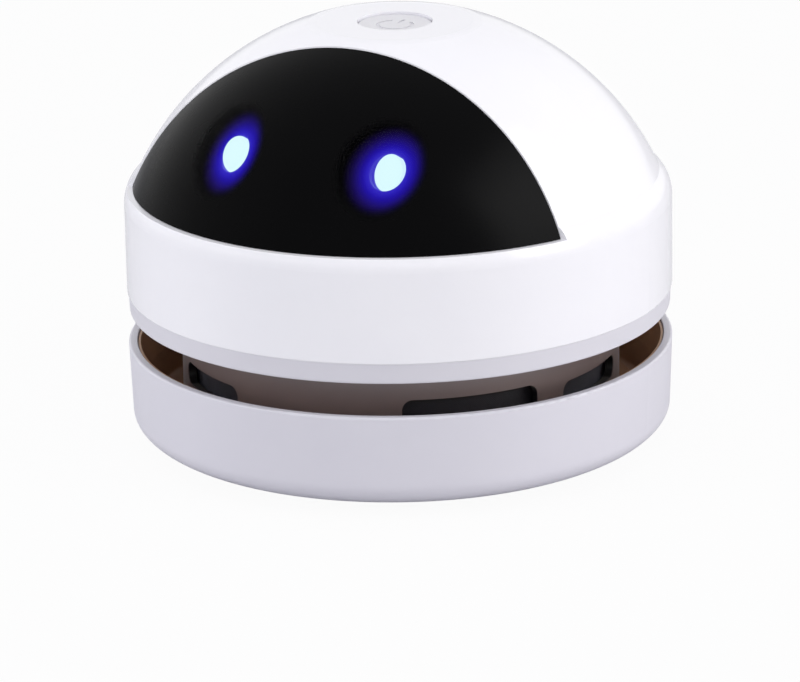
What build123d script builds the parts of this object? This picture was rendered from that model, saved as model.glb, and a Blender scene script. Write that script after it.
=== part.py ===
from build123d import *
import math
import os

# Desktop mini vacuum cleaner. Millimetres, +Z up, the face looks along -Y.
# The origin is the centre of the desk face. A bearing is an angle about the
# upright axis, counted from the face towards +X.

# ---------------------------------------------------------------- outer form
BODY_R = 43.0            # head band and base rim
FOOT_PROUD = 0.6         # the rubber feet lift the base shell off the desk
RIM_Z = 16.4             # top of the base rim
GAP_H = 5.25             # exhaust gap between the base rim and the head
COVER_EDGE_H = 3.15      # light edge strip under the band
BAND_H = 14.2            # straight side of the band
SHOULDER_R = 5.0         # round shoulder from the band to the dome
DOME_OVER = 2.4          # the dome's sphere is this much larger than the band
DOME_DROP = 1.3          # sphere centre below the band's lower edge
CROWN_R = 12.9           # flat crown around the button
CROWN_ROUND = 5.0
SHELL_WALL = 2.2
BAND_EDGE_ROUND = 0.25

# ---------------------------------------------------------------- visor, eyes
VISOR_FOOT_H = 2.2       # visor's lower edge above the straight band
VISOR_FOOT_FRONT = 18.9  # arch plane ahead of the axis, at the visor's foot
ARCH_LEAN = 8.8          # degrees that the arch plane leans back
VISOR_T = 1.2
VISOR_SINK = 0.15        # visor surface below the dome surface
VISOR_LEDGE = 2.5        # glue ledge behind the visor's edge
SEAM = 0.1               # gap at fixed joins between mouldings
MASK_GAP = 0.8           # mask behind the shell, its rim excepted
MASK_T = 1.0
MASK_INSET = 1.2
EYE_SPREAD = 13.0        # each eye from the middle plane
EYE_H = 12.5             # eyes above the shoulder's start
EYE_DEPTH = 3.3          # lens face behind the dome's sphere
EYE_TILT = 28.0          # lens faces look up by this many degrees
EYE_W = 4.7
EYE_TALL = 5.9
LENS_L = 3.2
LENS_FIT = 0.15
LENS_COLLAR_T = 0.8      # mask collar around each lens
LED_W = 3.5
LED_TALL = 2.8
LED_H = 0.9
LED_DISH = 0.27
LED_DISH_R = 1.12
BOARD_T = 1.2
BOARD_ROUND = 1.0
EYE_BOARD_L = 34.0
EYE_BOARD_W = 8.0
MASK_POST_X = 6.0
MASK_POST_R = 1.7

# ---------------------------------------------------------------- lower cover
COVER_INSET = 0.2        # cover edge inside the band
COVER_TAPER = 0.15       # its lower edge is this much smaller again
COVER_T = 1.6
LIP_T = 1.3
LIP_H = 2.0
SKIRT_DROP = 4.25        # plug skirt below the head's underside
SKIRT_T = 1.5
DECK_T = 2.2
KEY_SPAN = 5.0
KEY_DEPTH = 0.9
KEY_H = 1.15
SEAL_R = 0.54            # section radius of the drum seal
SEAL_ABOVE = 2.1         # seal's centre above the skirt's lower edge
SEAL_BITE = 0.44         # seal's centre below the skirt's surface

# ---------------------------------------------------------------- drum, screen
CHANNEL_W = 5.7          # exhaust channel between the drum and the cup's wall
DRUM_WALL = 1.3
DRUM_TOP_GAP = 0.2       # drum rim under the head
PLUG_FIT = 0.2           # skirt in the drum
RUN_FIT = 0.2            # drum over the cup floor, lugs under hooks
WINDOW_FOOT_Z = 11.7
WINDOW_ROUND = 1.7
WINDOWS = ((45.5, 37.0, 16.4), (87.0, 28.0, 15.3), (146.0, 28.0, 15.3))
LUG_REACH = 1.4
LUG_H = 1.4
LUG_SPAN = 14.0
HOOK_SPAN = 18.0
HOOK_ROOF = 1.2
HOOK_WALL = 1.4
STOP_SPAN = 1.6
LOCK_BEARINGS = (10.0, 130.0, 250.0)
SCREEN_T = 0.7
SCREEN_FIT = 0.2
SCREEN_RAIL_H = 1.6
SCREEN_RIB_W = 1.6
MESH_T = 0.3

# ---------------------------------------------------------------- base
BASE_WALL = 1.4
BASE_DRAFT = 0.4         # the ring narrows downwards by this much
CORNER_W = 9.0
CORNER_H = 4.8
FLOOR_T = 1.6
MOAT_W = 3.9             # dust moat between the screen and the suction pocket's wall
RIM_ROUND = 0.35         # outer edge of the rim
RIM_ROUND_IN = 0.2
POCKET_H = 3.4           # roof of the suction pocket above the base's underside
CUP_T = 1.2
CUP_RIM_DROP = 0.3       # cup rim below the white rim
CUP_RIM_T = 0.35         # the cup's wall thins to this at its rim
CUP_RIM_TAPER = 6.0      # height over which it thins
CHIMNEY_R = 9.0
CHIMNEY_TOP_Z = 9.0
PLATE_T = 1.4
PLATE_FIT = 0.2
TUFT_RING_R = 14.5
TUFT_R = 0.65
TUFT_COUNT = 28
TUFT_CLEAR = 0.1         # tufts end just above the desk
TUFT_SET = 1.0           # depth in the plate
FOOT_R = 2.6
FOOT_SET = 0.6
PLATE_SCREW_IN = 4.5     # screw circle inside the pocket's wall
CUP_BOSS_R = 2.3
CUP_BOSS_H = 2.6

# ---------------------------------------------------------------- screws
SCREW_R = 0.9            # thread
SCREW_HEAD_R = 1.7
SCREW_HEAD_H = 0.8
SCREW_HOLE_FIT = 0.15
THREAD_FIT = 0.02
HEAD_FIT = 0.15
COVER_SCREW_L = 7.0
COVER_SCREW_IN = 4.2     # screw circle inside the band's wall
COVER_SCREW_BEARINGS = (75.0, 130.0, 230.0, 285.0)
COVER_BOSS_R = 2.5
SHORT_SCREW_L = 3.2

# ---------------------------------------------------------------- motor, fan
MOTOR_R = 12.0
MOTOR_L = 25.0
CAN_T = 0.8
DAMPER_T = 0.8
MOTOR_SCREW_X = 6.5
SHAFT_R = 1.0
SHAFT_RUN = 0.03         # radial running clearance in the bushes
BUSH_R = 2.6
BUSH_L = 3.0
END_CAP_H = 2.4
MAGNET_T = 1.8
MAGNET_SPAN = 140.0
ARMATURE_R = 8.6
ARMATURE_L = 12.0
ARMATURE_SLOT_R = 4.7    # floor of the slots between the poles
ARMATURE_POLES = 5
ARMATURE_SET = 0.5       # armature above the magnets' lower edge
TERMINAL_X = 6.0
TERMINAL_H = 2.4
MOTOR_COLLAR_T = 1.3
FAN_R = 21.5
FAN_DROP = 0.8           # back plate below the deck
FAN_PLATE_T = 1.0
BLADE_H = 5.4
BLADE_T = 0.9
BLADE_COUNT = 9
BLADE_ROOT_R = 7.0
BLADE_SWEEP = 38.0
BLADE_SWEEP_MIDDLE = 14.4
HUB_R = 4.2
HUB_RISE = 1.0           # hub starts this far above the blades' lower edges
PRESS_FIT = 0.01

# ---------------------------------------------------------------- battery
CELL_R = 7.1
CELL_L = 43.0
CELL_ROUND = 0.6
CELL_NUB_R = 2.73        # raised positive cap
CELL_GAP = 1.2           # cradle behind the motor's collar
CELL_UP = 8.3            # cell axis above the cover plate
CRADLE_WALL = 1.5        # end walls
CRADLE_SIDE = 0.9        # long walls at the cell's axis
CRADLE_FIT = 0.1
CONTACT_T = 0.3
CONTACT_W = 6.0

# ---------------------------------------------------------------- charging board
CHARGE_W = 20.0
CHARGE_GAP = 0.2         # board behind the cradle
CHARGE_EDGE = 2.2        # board's outer edge inside the band's wall
CHARGE_POST_X = 7.2
CHARGE_POST_IN = 2.0     # posts behind the board's inner edge
CHIP_L = 4.0
CHIP_W = 3.0
CHIP_H = 1.2
COIL_W = 4.0
COIL_H = 1.8
COIL_ROUND = 0.5
CHARGE_UP = 1.8          # board above the cover plate
SOCKET_W = 8.94
SOCKET_H = 3.26
SOCKET_L = 7.35
SOCKET_SKIN = 0.35
SOCKET_BACK = 1.2        # socket mouth inside the band's surface
SOCKET_SLOT_FIT = 0.4
TONGUE_T = 0.7
TONGUE_W = 6.4
TONGUE_L = 5.15

# ---------------------------------------------------------------- button, switch
BUTTON_R = 5.75
BUTTON_FIT = 0.15
BUTTON_SINK = 0.4        # button face below the crown
BUTTON_TRAVEL = 0.7
BUTTON_DISH = 0.25
MARK_DEPTH = 0.12
MARK_R = 2.7
MARK_W = 0.55
MARK_SPAN = 290.0        # open ring of the power mark
MARK_BAR_IN = 0.95       # its bar starts here, off the centre
MARK_BAR_OUT = 3.25
FLANGE_OVER = 1.1
FLANGE_T = 1.0
STEM_R = 1.5
STEM_L = 1.9
CONTACT_GAP = 0.02       # button stem over the switch plunger
SWITCH_W = 6.0
SWITCH_H = 3.4
PLUNGER_R = 1.2
PLUNGER_OUT = 1.35
SWITCH_BOARD_R = 11.4
SWITCH_POST_X = 9.2
SWITCH_POST_R = 1.8
SPRING_R = 2.4
SPRING_WIRE = 0.18
SPRING_TURNS = 4

# ---------------------------------------------------------------- leads
LEAD_R = 0.6
LEAD_BEND = 3.0          # at the terminals
LEAD_SWEEP = 8.0         # down behind the cell

# ---------------------------------------------------------------- derived levels
COVER_Z = RIM_Z + GAP_H
BAND_Z = COVER_Z + COVER_EDGE_H
SHOULDER_Z = BAND_Z + BAND_H
DOME_R = BODY_R + DOME_OVER
DOME_Z = BAND_Z - DOME_DROP
CROWN_Z = DOME_Z + math.sqrt(DOME_R ** 2 - CROWN_R ** 2)
VISOR_Z = SHOULDER_Z + VISOR_FOOT_H
VISOR_R = DOME_R - VISOR_SINK
VISOR_BACK_R = VISOR_R - VISOR_T
BAND_INNER_R = BODY_R - SHELL_WALL
SHELL_INNER_R = DOME_R - SHELL_WALL
MASK_R = SHELL_INNER_R - MASK_GAP
CROWN_UNDER_Z = CROWN_Z - SHELL_WALL

COVER_TOP_Z = COVER_Z + COVER_T
COVER_SCREW_RING_R = BAND_INNER_R - COVER_SCREW_IN
BASE_BORE_R = BODY_R - BASE_WALL
CUP_R = BASE_BORE_R - SEAM
CUP_BORE_R = CUP_R - CUP_T
DRUM_R = CUP_BORE_R - CHANNEL_W
DRUM_BORE_R = DRUM_R - DRUM_WALL
SKIRT_R = DRUM_BORE_R - PLUG_FIT
SKIRT_BORE_R = SKIRT_R - SKIRT_T
SKIRT_Z = COVER_Z - SKIRT_DROP
DECK_TOP_Z = SKIRT_Z + DECK_T
SEAL_Z = SKIRT_Z + SEAL_ABOVE

SHELL_FLOOR_Z = FOOT_PROUD + FLOOR_T
CORNER_TOP_Z = FOOT_PROUD + CORNER_H
CORNER_R = BODY_R - BASE_DRAFT - CORNER_W
CUP_FLOOR_Z = SHELL_FLOOR_Z + CUP_T
POCKET_ROOF_Z = FOOT_PROUD + POCKET_H
CHAMBER_Z = POCKET_ROOF_Z + CUP_T
PLATE_Z = POCKET_ROOF_Z - PLATE_T
DRUM_Z = CUP_FLOOR_Z + RUN_FIT
DRUM_TOP_Z = COVER_Z - DRUM_TOP_GAP
SCREEN_R = DRUM_BORE_R - SCREEN_FIT
SCREEN_BORE_R = SCREEN_R - SCREEN_T
POCKET_WALL_R = SCREEN_BORE_R - MESH_T - MOAT_W
POCKET_R = POCKET_WALL_R - CUP_T
FOOT_RING_R = (POCKET_R + CORNER_R) / 2
PLATE_SCREW_R = POCKET_R - PLATE_SCREW_IN
SCREEN_Z = DRUM_Z
SCREEN_TOP_Z = SKIRT_Z - SCREEN_FIT

MOTOR_Z = DECK_TOP_Z + DAMPER_T
MOTOR_TOP_Z = MOTOR_Z + MOTOR_L
FAN_TOP_Z = SKIRT_Z - FAN_DROP
BLADE_TOP_Z = FAN_TOP_Z - FAN_PLATE_T
BLADE_Z = BLADE_TOP_Z - BLADE_H
SHAFT_Z = BLADE_Z + HUB_RISE
COLLAR_R = MOTOR_R + SEAM + MOTOR_COLLAR_T
CELL_Y = COLLAR_R + CELL_GAP + CRADLE_SIDE + CELL_R
CRADLE_Y0 = CELL_Y - CELL_R - CRADLE_SIDE
CRADLE_Y1 = CELL_Y + CELL_R + CRADLE_SIDE
CELL_Z = COVER_TOP_Z + CELL_UP
CHARGE_Y0 = CRADLE_Y1 + CHARGE_GAP
CHARGE_Y1 = BAND_INNER_R - CHARGE_EDGE
CHARGE_Z = COVER_TOP_Z + CHARGE_UP
CHARGE_TOP_Z = CHARGE_Z + BOARD_T
SOCKET_MOUTH_Y = BODY_R - SOCKET_BACK

BUTTON_FACE_Z = CROWN_Z - BUTTON_SINK
FLANGE_TOP_Z = CROWN_UNDER_Z - CONTACT_GAP
FLANGE_Z = FLANGE_TOP_Z - FLANGE_T
STEM_Z = FLANGE_Z - STEM_L
PLUNGER_TOP_Z = STEM_Z - CONTACT_GAP
SWITCH_TOP_Z = PLUNGER_TOP_Z - PLUNGER_OUT
SWITCH_BOARD_TOP_Z = SWITCH_TOP_Z - SWITCH_H
SWITCH_BOARD_Z = SWITCH_BOARD_TOP_Z - BOARD_T

ON_FLOOR = (Align.CENTER, Align.CENTER, Align.MIN)
BIG = 4 * BODY_R         # larger than the whole object


# ---------------------------------------------------------------- helpers
def rod(radius, z0, z1):
    """Upright round bar on the axis."""
    return Pos(0, 0, z0) * Cylinder(radius, z1 - z0, align=ON_FLOOR)


def ring(bore, radius, z0, z1):
    """Upright ring on the axis."""
    return rod(radius, z0, z1) - rod(bore, z0, z1)


def block(x0, x1, y0, y1, z0, z1):
    """Box from its two corners."""
    box = Box(x1 - x0, y1 - y0, z1 - z0)
    return Pos((x0 + x1) / 2, (y0 + y1) / 2, (z0 + z1) / 2) * box


def at_bearing(bearing, radius=0.0, z=0.0):
    """Place at a bearing: local +X points outwards."""
    return Rot(0, 0, bearing - 90) * Pos(radius, 0, z)


def sector(bore, radius, z0, z1, bearing, span):
    """Piece of a ring, centred on a bearing."""
    section = Rectangle(radius - bore, z1 - z0)
    face = Plane.XZ * Pos((bore + radius) / 2, (z0 + z1) / 2) * section
    return Rot(0, 0, bearing - 90 - span / 2) * revolve(face, Axis.Z, span)


def ball_shell(inner, outer):
    """Hollow sphere about the dome's centre."""
    return Pos(0, 0, DOME_Z) * (Sphere(outer) - Sphere(inner))


def face_region(inset):
    """Everything ahead of the arch plane and above the visor's foot, less an inset."""
    foot = Plane(origin=(0, -VISOR_FOOT_FRONT, VISOR_Z), x_dir=(1, 0, 0), z_dir=(0, 0, 1))
    ahead = Pos(0, -BIG / 2 - inset, 0) * Box(BIG, BIG, 2 * BIG)
    leaning = foot * (Rot(-ARCH_LEAN, 0, 0) * ahead)
    above = Pos(0, 0, VISOR_Z + inset) * Box(BIG, BIG, BIG, align=ON_FLOOR)
    return leaning & above


def screw(length):
    """Pan head screw, head below z = 0, with a crossed drive."""
    shank = rod(SCREW_R, -SCREW_HEAD_H / 2, length)
    head = fillet(rod(SCREW_HEAD_R, -SCREW_HEAD_H, 0).edges().sort_by(Axis.Z)[0], SCREW_HEAD_H / 3)
    arm = Box(2 * SCREW_R, SCREW_R / 3, SCREW_HEAD_H)
    cross = Pos(0, 0, -SCREW_HEAD_H) * (arm + Rot(0, 0, 90) * arm)
    return head + shank - cross


def screw_hole(depth):
    """Clearance hole with a seat for the head, head side at z = 0."""
    seat = rod(SCREW_HEAD_R + HEAD_FIT, -1, SCREW_HEAD_H)
    return seat + rod(SCREW_R + SCREW_HOLE_FIT, 0, depth)


def pilot(length):
    """Hole that a thread fills, from z = 0 upwards."""
    return rod(SCREW_R + THREAD_FIT, -1, length + THREAD_FIT)


# ---------------------------------------------------------------- base
def corner_profile(top_r, width, height, floor_z):
    """Elliptical corner from the wall down to the floor."""
    return EllipticalCenterArc((top_r - width, floor_z + height), width, height, 0, arc_size=-90)


def base_shell():
    """White ring wall with a deeply rounded lower edge and an open floor."""
    wall_r = BODY_R - BASE_DRAFT
    outside = corner_profile(wall_r, CORNER_W, CORNER_H, FOOT_PROUD)
    inner_w = BASE_BORE_R - CORNER_R
    inside = corner_profile(BASE_BORE_R, inner_w, CORNER_TOP_Z - SHELL_FLOOR_Z, SHELL_FLOOR_Z)
    outline = [
        Line((BASE_BORE_R, RIM_Z), (BODY_R, RIM_Z)),
        Line((BODY_R, RIM_Z), (wall_r, CORNER_TOP_Z)),
        outside,
        Line((CORNER_R, FOOT_PROUD), (POCKET_R, FOOT_PROUD)),
        Line((POCKET_R, FOOT_PROUD), (POCKET_R, SHELL_FLOOR_Z)),
        Line((POCKET_R, SHELL_FLOOR_Z), (CORNER_R, SHELL_FLOOR_Z)),
        inside,
        Line((BASE_BORE_R, CORNER_TOP_Z), (BASE_BORE_R, RIM_Z)),
    ]
    shell = revolve(Plane.XZ * make_face(outline), Axis.Z)
    rim = shell.edges().filter_by(GeomType.CIRCLE).group_by(Axis.Z)[-1].sort_by(SortBy.RADIUS)
    shell = fillet(rim[-1], RIM_ROUND)
    rim = shell.edges().filter_by(GeomType.CIRCLE).group_by(Axis.Z)[-1].sort_by(SortBy.RADIUS)
    shell = fillet(rim[0], RIM_ROUND_IN)
    for bearing in foot_bearings():
        shell -= at_bearing(bearing, FOOT_RING_R) * rod(FOOT_R, 0, FOOT_PROUD + FOOT_SET)
    return shell


def foot_bearings():
    return [45 + 90 * k for k in range(4)]


def rubber_feet():
    """Four round pads pressed into the floor of the shell."""
    pad = fillet(rod(FOOT_R, 0, FOOT_PROUD + FOOT_SET).edges().sort_by(Axis.Z)[0], FOOT_PROUD / 3)
    return Compound([at_bearing(b, FOOT_RING_R) * pad for b in foot_bearings()])


def plate_screw_bearings():
    return [45 + 90 * k for k in range(4)]


def dust_cup():
    """Smoked cup lining the base, with the suction chimney and the drum's hooks."""
    corner_w = CUP_R - CORNER_R
    outside = corner_profile(CUP_R, corner_w, CORNER_TOP_Z - SHELL_FLOOR_Z, SHELL_FLOOR_Z)
    inner_h = CORNER_TOP_Z - CUP_FLOOR_Z
    inside = corner_profile(CUP_BORE_R, corner_w - CUP_T, inner_h, CUP_FLOOR_Z)
    rim_z = RIM_Z - CUP_RIM_DROP
    outline = [
        Line((CHIMNEY_R, POCKET_ROOF_Z), (POCKET_R, POCKET_ROOF_Z)),
        Line((POCKET_R, POCKET_ROOF_Z), (POCKET_R, SHELL_FLOOR_Z)),
        Line((POCKET_R, SHELL_FLOOR_Z), (CORNER_R, SHELL_FLOOR_Z)),
        outside,
        Line((CUP_R, CORNER_TOP_Z), (CUP_R, rim_z)),
        Line((CUP_R, rim_z), (CUP_R - CUP_RIM_T, rim_z)),
        Line((CUP_R - CUP_RIM_T, rim_z), (CUP_BORE_R, rim_z - CUP_RIM_TAPER)),
        Line((CUP_BORE_R, rim_z - CUP_RIM_TAPER), (CUP_BORE_R, CORNER_TOP_Z)),
        inside,
        Line((CORNER_R, CUP_FLOOR_Z), (POCKET_WALL_R, CUP_FLOOR_Z)),
        Line((POCKET_WALL_R, CUP_FLOOR_Z), (POCKET_WALL_R, CHAMBER_Z)),
        Line((POCKET_WALL_R, CHAMBER_Z), (CHIMNEY_R + CUP_T, CHAMBER_Z)),
        Line((CHIMNEY_R + CUP_T, CHAMBER_Z), (CHIMNEY_R + CUP_T, CHIMNEY_TOP_Z)),
        Line((CHIMNEY_R + CUP_T, CHIMNEY_TOP_Z), (CHIMNEY_R, CHIMNEY_TOP_Z)),
        Line((CHIMNEY_R, CHIMNEY_TOP_Z), (CHIMNEY_R, POCKET_ROOF_Z)),
    ]
    cup = revolve(Plane.XZ * make_face(outline), Axis.Z)
    for bearing in LOCK_BEARINGS:
        cup += hook(bearing)
    for bearing in plate_screw_bearings():
        boss = rod(CUP_BOSS_R, CHAMBER_Z - CUP_T / 2, CHAMBER_Z + CUP_BOSS_H)
        cup += at_bearing(bearing, PLATE_SCREW_R) * boss
        cup -= at_bearing(bearing, PLATE_SCREW_R, POCKET_ROOF_Z) * pilot(SHORT_SCREW_L)
    return cup


def hook(bearing):
    """Bayonet hook: a wall outside the lug, a roof over it and a stop at its end."""
    bore = DRUM_R + RUN_FIT
    wall_r = DRUM_R + LUG_REACH + RUN_FIT
    roof_z = DRUM_Z + LUG_H + RUN_FIT
    top_z = roof_z + HOOK_ROOF
    wall = sector(wall_r, wall_r + HOOK_WALL, CUP_FLOOR_Z - CUP_T / 4, top_z, bearing, HOOK_SPAN)
    roof = sector(bore, wall_r + HOOK_WALL / 2, roof_z, top_z, bearing, HOOK_SPAN)
    stop_at = bearing + HOOK_SPAN / 2
    stop = sector(bore, wall_r + HOOK_WALL, CUP_FLOOR_Z - CUP_T / 4, top_z, stop_at, STOP_SPAN)
    return wall + roof + stop


def intake_plate():
    """Round plate over the suction pocket, with the mouth and the tuft sockets."""
    plate = ring(CHIMNEY_R, POCKET_R - PLATE_FIT, PLATE_Z, POCKET_ROOF_Z)
    mouth_edge = plate.edges().filter_by(GeomType.CIRCLE).group_by(Axis.Z)[0].sort_by(SortBy.RADIUS)[0]
    plate = fillet(mouth_edge, PLATE_T / 2)
    for bearing in tuft_bearings():
        plate -= at_bearing(bearing, TUFT_RING_R) * rod(TUFT_R, 0, PLATE_Z + TUFT_SET)
    for bearing in plate_screw_bearings():
        plate -= at_bearing(bearing, PLATE_SCREW_R, PLATE_Z) * screw_hole(BIG)
    return plate


def tuft_bearings():
    return [360 * k / TUFT_COUNT for k in range(TUFT_COUNT)]


def brush_tufts():
    """Ring of soft nylon tufts around the mouth."""
    tuft = rod(TUFT_R, TUFT_CLEAR, PLATE_Z + TUFT_SET)
    return Compound([at_bearing(b, TUFT_RING_R) * tuft for b in tuft_bearings()])


def plate_screws():
    head_z = PLATE_Z + SCREW_HEAD_H
    fastener = screw(POCKET_ROOF_Z - head_z + SHORT_SCREW_L)
    return Compound([at_bearing(b, PLATE_SCREW_R, head_z) * fastener for b in plate_screw_bearings()])


# ---------------------------------------------------------------- drum and screen
def window_list():
    """Windows repeat after half a turn."""
    return [(b + half, span, top) for half in (0, 180) for b, span, top in WINDOWS]


def pillar_bearings():
    """Middles of the solid stretches between neighbouring windows."""
    windows = window_list()
    middles = []
    for here, following in zip(windows, windows[1:] + windows[:1]):
        end = here[0] + here[1] / 2
        start = following[0] - following[1] / 2
        middles.append(end + (start - end) % 360 / 2)
    return middles


def filter_drum():
    """Smoked drum: exhaust windows, locking lugs below, key notches at the rim."""
    drum = ring(DRUM_BORE_R, DRUM_R, DRUM_Z, DRUM_TOP_Z)
    for bearing, span, top_z in window_list():
        cutter = sector(DRUM_BORE_R - 1, DRUM_R + 1, WINDOW_FOOT_Z, top_z, bearing, span)
        level = [e for e in cutter.edges().filter_by(GeomType.LINE) if abs(e.tangent_at(0).Z) < 0.1]
        drum -= fillet(level, WINDOW_ROUND)
    for bearing in LOCK_BEARINGS:
        drum += sector(DRUM_R - DRUM_WALL / 2, DRUM_R + LUG_REACH, DRUM_Z, DRUM_Z + LUG_H, bearing, LUG_SPAN)
        notch_r = SKIRT_R + KEY_DEPTH + PLUG_FIT
        notch_z = COVER_Z - KEY_H - PLUG_FIT
        notch_span = KEY_SPAN + math.degrees(2 * PLUG_FIT / DRUM_BORE_R)
        drum -= sector(DRUM_BORE_R - 1, notch_r, notch_z, DRUM_TOP_Z + 1, bearing, notch_span)
    return drum


def filter_screen():
    """Lift-out cage: two rails and ribs that hold the mesh."""
    cage = ring(SCREEN_BORE_R, SCREEN_R, SCREEN_Z, SCREEN_Z + SCREEN_RAIL_H)
    cage += ring(SCREEN_BORE_R, SCREEN_R, SCREEN_TOP_Z - SCREEN_RAIL_H, SCREEN_TOP_Z)
    span = math.degrees(SCREEN_RIB_W / SCREEN_R)
    for bearing in pillar_bearings():
        cage += sector(SCREEN_BORE_R, SCREEN_R, SCREEN_Z, SCREEN_TOP_Z, bearing, span)
    return cage


def screen_mesh():
    """Fine mesh sleeve on the inside of the cage."""
    return ring(SCREEN_BORE_R - MESH_T, SCREEN_BORE_R, SCREEN_Z, SCREEN_TOP_Z)


# ---------------------------------------------------------------- head shells
def upper_shell():
    """Dome and band in one moulding, open below and behind the visor."""
    band_top = SHOULDER_Z + SHOULDER_R
    band = rod(BODY_R, BAND_Z, band_top)
    circles = band.edges().filter_by(GeomType.CIRCLE)
    band = fillet(circles.sort_by(Axis.Z)[-1], SHOULDER_R)
    band = fillet(band.edges().filter_by(GeomType.CIRCLE).sort_by(Axis.Z)[0], BAND_EDGE_ROUND)
    cap = Pos(0, 0, DOME_Z) * Sphere(DOME_R)
    cap &= rod(BODY_R, SHOULDER_Z + SHOULDER_R / 2, CROWN_Z)
    crown_edge = cap.edges().filter_by(GeomType.CIRCLE).sort_by(Axis.Z)[-1]
    outside = band + fillet(crown_edge, CROWN_ROUND)

    spring_z = DOME_Z + math.sqrt(SHELL_INNER_R ** 2 - BAND_INNER_R ** 2)
    vault = Pos(0, 0, DOME_Z) * Sphere(SHELL_INNER_R)
    vault &= rod(BAND_INNER_R, spring_z, CROWN_UNDER_Z)
    cavity = vault + rod(BAND_INNER_R, BAND_Z - 1, spring_z)
    shell = outside - cavity

    for bearing in COVER_SCREW_BEARINGS:
        boss = at_bearing(bearing, COVER_SCREW_RING_R) * rod(COVER_BOSS_R, COVER_TOP_Z, CROWN_Z)
        web = at_bearing(bearing) * block(
            COVER_SCREW_RING_R, BAND_INNER_R + SHELL_WALL / 2,
            -COVER_BOSS_R / 2, COVER_BOSS_R / 2, BAND_Z + LIP_H, SHOULDER_Z)
        shell += boss & outside.fuse(rod(BAND_INNER_R, COVER_TOP_Z, SHOULDER_Z))
        shell += web
        shell -= at_bearing(bearing, COVER_SCREW_RING_R, COVER_TOP_Z) * pilot(COVER_SCREW_L)
    for side in (-1, 1):
        post = rod(SWITCH_POST_R, SWITCH_BOARD_TOP_Z, CROWN_UNDER_Z + SHELL_WALL / 2)
        shell += Pos(side * SWITCH_POST_X, 0, 0) * post
        shell -= Pos(side * SWITCH_POST_X, 0, SWITCH_BOARD_TOP_Z) * pilot(SHORT_SCREW_L)

    shell -= face_region(0) & ball_shell(VISOR_BACK_R, BIG / 2)
    shell -= face_region(VISOR_LEDGE) & ball_shell(SHELL_INNER_R - 1, BIG / 2)
    shell -= rod(BUTTON_R + BUTTON_FIT, CROWN_UNDER_Z - 1, CROWN_Z + 1)
    shell -= socket_slot()
    return shell


def socket_slot():
    """Oblong opening for the charging socket at the back of the band."""
    wide = SOCKET_W + 2 * SOCKET_SLOT_FIT
    high = SOCKET_H + 2 * SOCKET_SLOT_FIT
    outline = Plane.XZ * RectangleRounded(wide, high, high / 2 - SEAM)
    centre_z = CHARGE_TOP_Z + SOCKET_H / 2
    return Pos(0, BODY_R + 1, centre_z) * extrude(outline, SOCKET_L)


def visor():
    """Glossy smoked panel on the glue ledge."""
    return ball_shell(VISOR_BACK_R, VISOR_R) & face_region(SEAM)


def lower_cover():
    """Closes the head, plugs into the drum and carries the motor."""
    edge_r = BODY_R - COVER_INSET
    foot_r = edge_r - COVER_TAPER
    lip_r = BAND_INNER_R - SEAM
    lip_bore = lip_r - LIP_T
    outline = Polyline(
        (SKIRT_BORE_R, COVER_Z), (SKIRT_BORE_R, COVER_TOP_Z),
        (lip_bore, COVER_TOP_Z), (lip_bore, BAND_Z + LIP_H),
        (lip_r, BAND_Z + LIP_H), (lip_r, BAND_Z),
        (edge_r, BAND_Z), (foot_r, COVER_Z), close=True)
    cover = revolve(Plane.XZ * make_face(outline), Axis.Z)
    foot = cover.edges().filter_by(GeomType.CIRCLE).group_by(Axis.Z)[0].sort_by(SortBy.RADIUS)[-1]
    cover = fillet(foot, COVER_INSET * 2)
    cover += ring(SKIRT_BORE_R, SKIRT_R, SKIRT_Z, COVER_TOP_Z)
    cover += rod(SKIRT_BORE_R + SKIRT_T / 2, SKIRT_Z, DECK_TOP_Z)
    cover += ring(MOTOR_R + SEAM, COLLAR_R, DECK_TOP_Z, MOTOR_Z + MOTOR_R / 4)
    groove = ring(SKIRT_R - SEAL_BITE - SEAL_R, SKIRT_R + 1, SEAL_Z - SEAL_R, SEAL_Z + SEAL_R)
    cover -= groove
    for bearing in LOCK_BEARINGS:
        key_top = COVER_Z + COVER_T / 2
        key = sector(SKIRT_R - SKIRT_T / 2, SKIRT_R + KEY_DEPTH, COVER_Z - KEY_H, key_top, bearing, KEY_SPAN)
        cover += key
    cover -= rod(BUSH_R + PLUG_FIT, SKIRT_Z - 1, DECK_TOP_Z + 1)
    for side in (-1, 1):
        cover -= Pos(side * MOTOR_SCREW_X, 0, SKIRT_Z) * screw_hole(BIG / 8)
    for bearing in COVER_SCREW_BEARINGS:
        cover -= at_bearing(bearing, COVER_SCREW_RING_R, COVER_Z) * screw_hole(BIG / 8)
    for side in (-1, 1):
        post_at = Pos(side * CHARGE_POST_X, CHARGE_Y0 + CHARGE_POST_IN, 0)
        cover += post_at * rod(SCREW_HEAD_R, COVER_T / 2 + COVER_Z, CHARGE_Z)
        cover -= post_at * Pos(0, 0, CHARGE_Z - SHORT_SCREW_L / 2) * pilot(BIG / 8)
    notch = CHARGE_W / 2 + PLUG_FIT
    cover -= block(-notch, notch, 0, BAND_INNER_R, CHARGE_Z - SEAM, BAND_Z + LIP_H + 1)
    return cover


def drum_seal():
    """Rubber ring in the skirt's groove."""
    return Pos(0, 0, SEAL_Z) * Torus(SKIRT_R - SEAL_BITE, SEAL_R)


def cover_screws():
    head_z = COVER_Z + SCREW_HEAD_H
    fastener = screw(COVER_TOP_Z - head_z + COVER_SCREW_L)
    places = [at_bearing(b, COVER_SCREW_RING_R, head_z) for b in COVER_SCREW_BEARINGS]
    return Compound([place * fastener for place in places])


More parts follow.
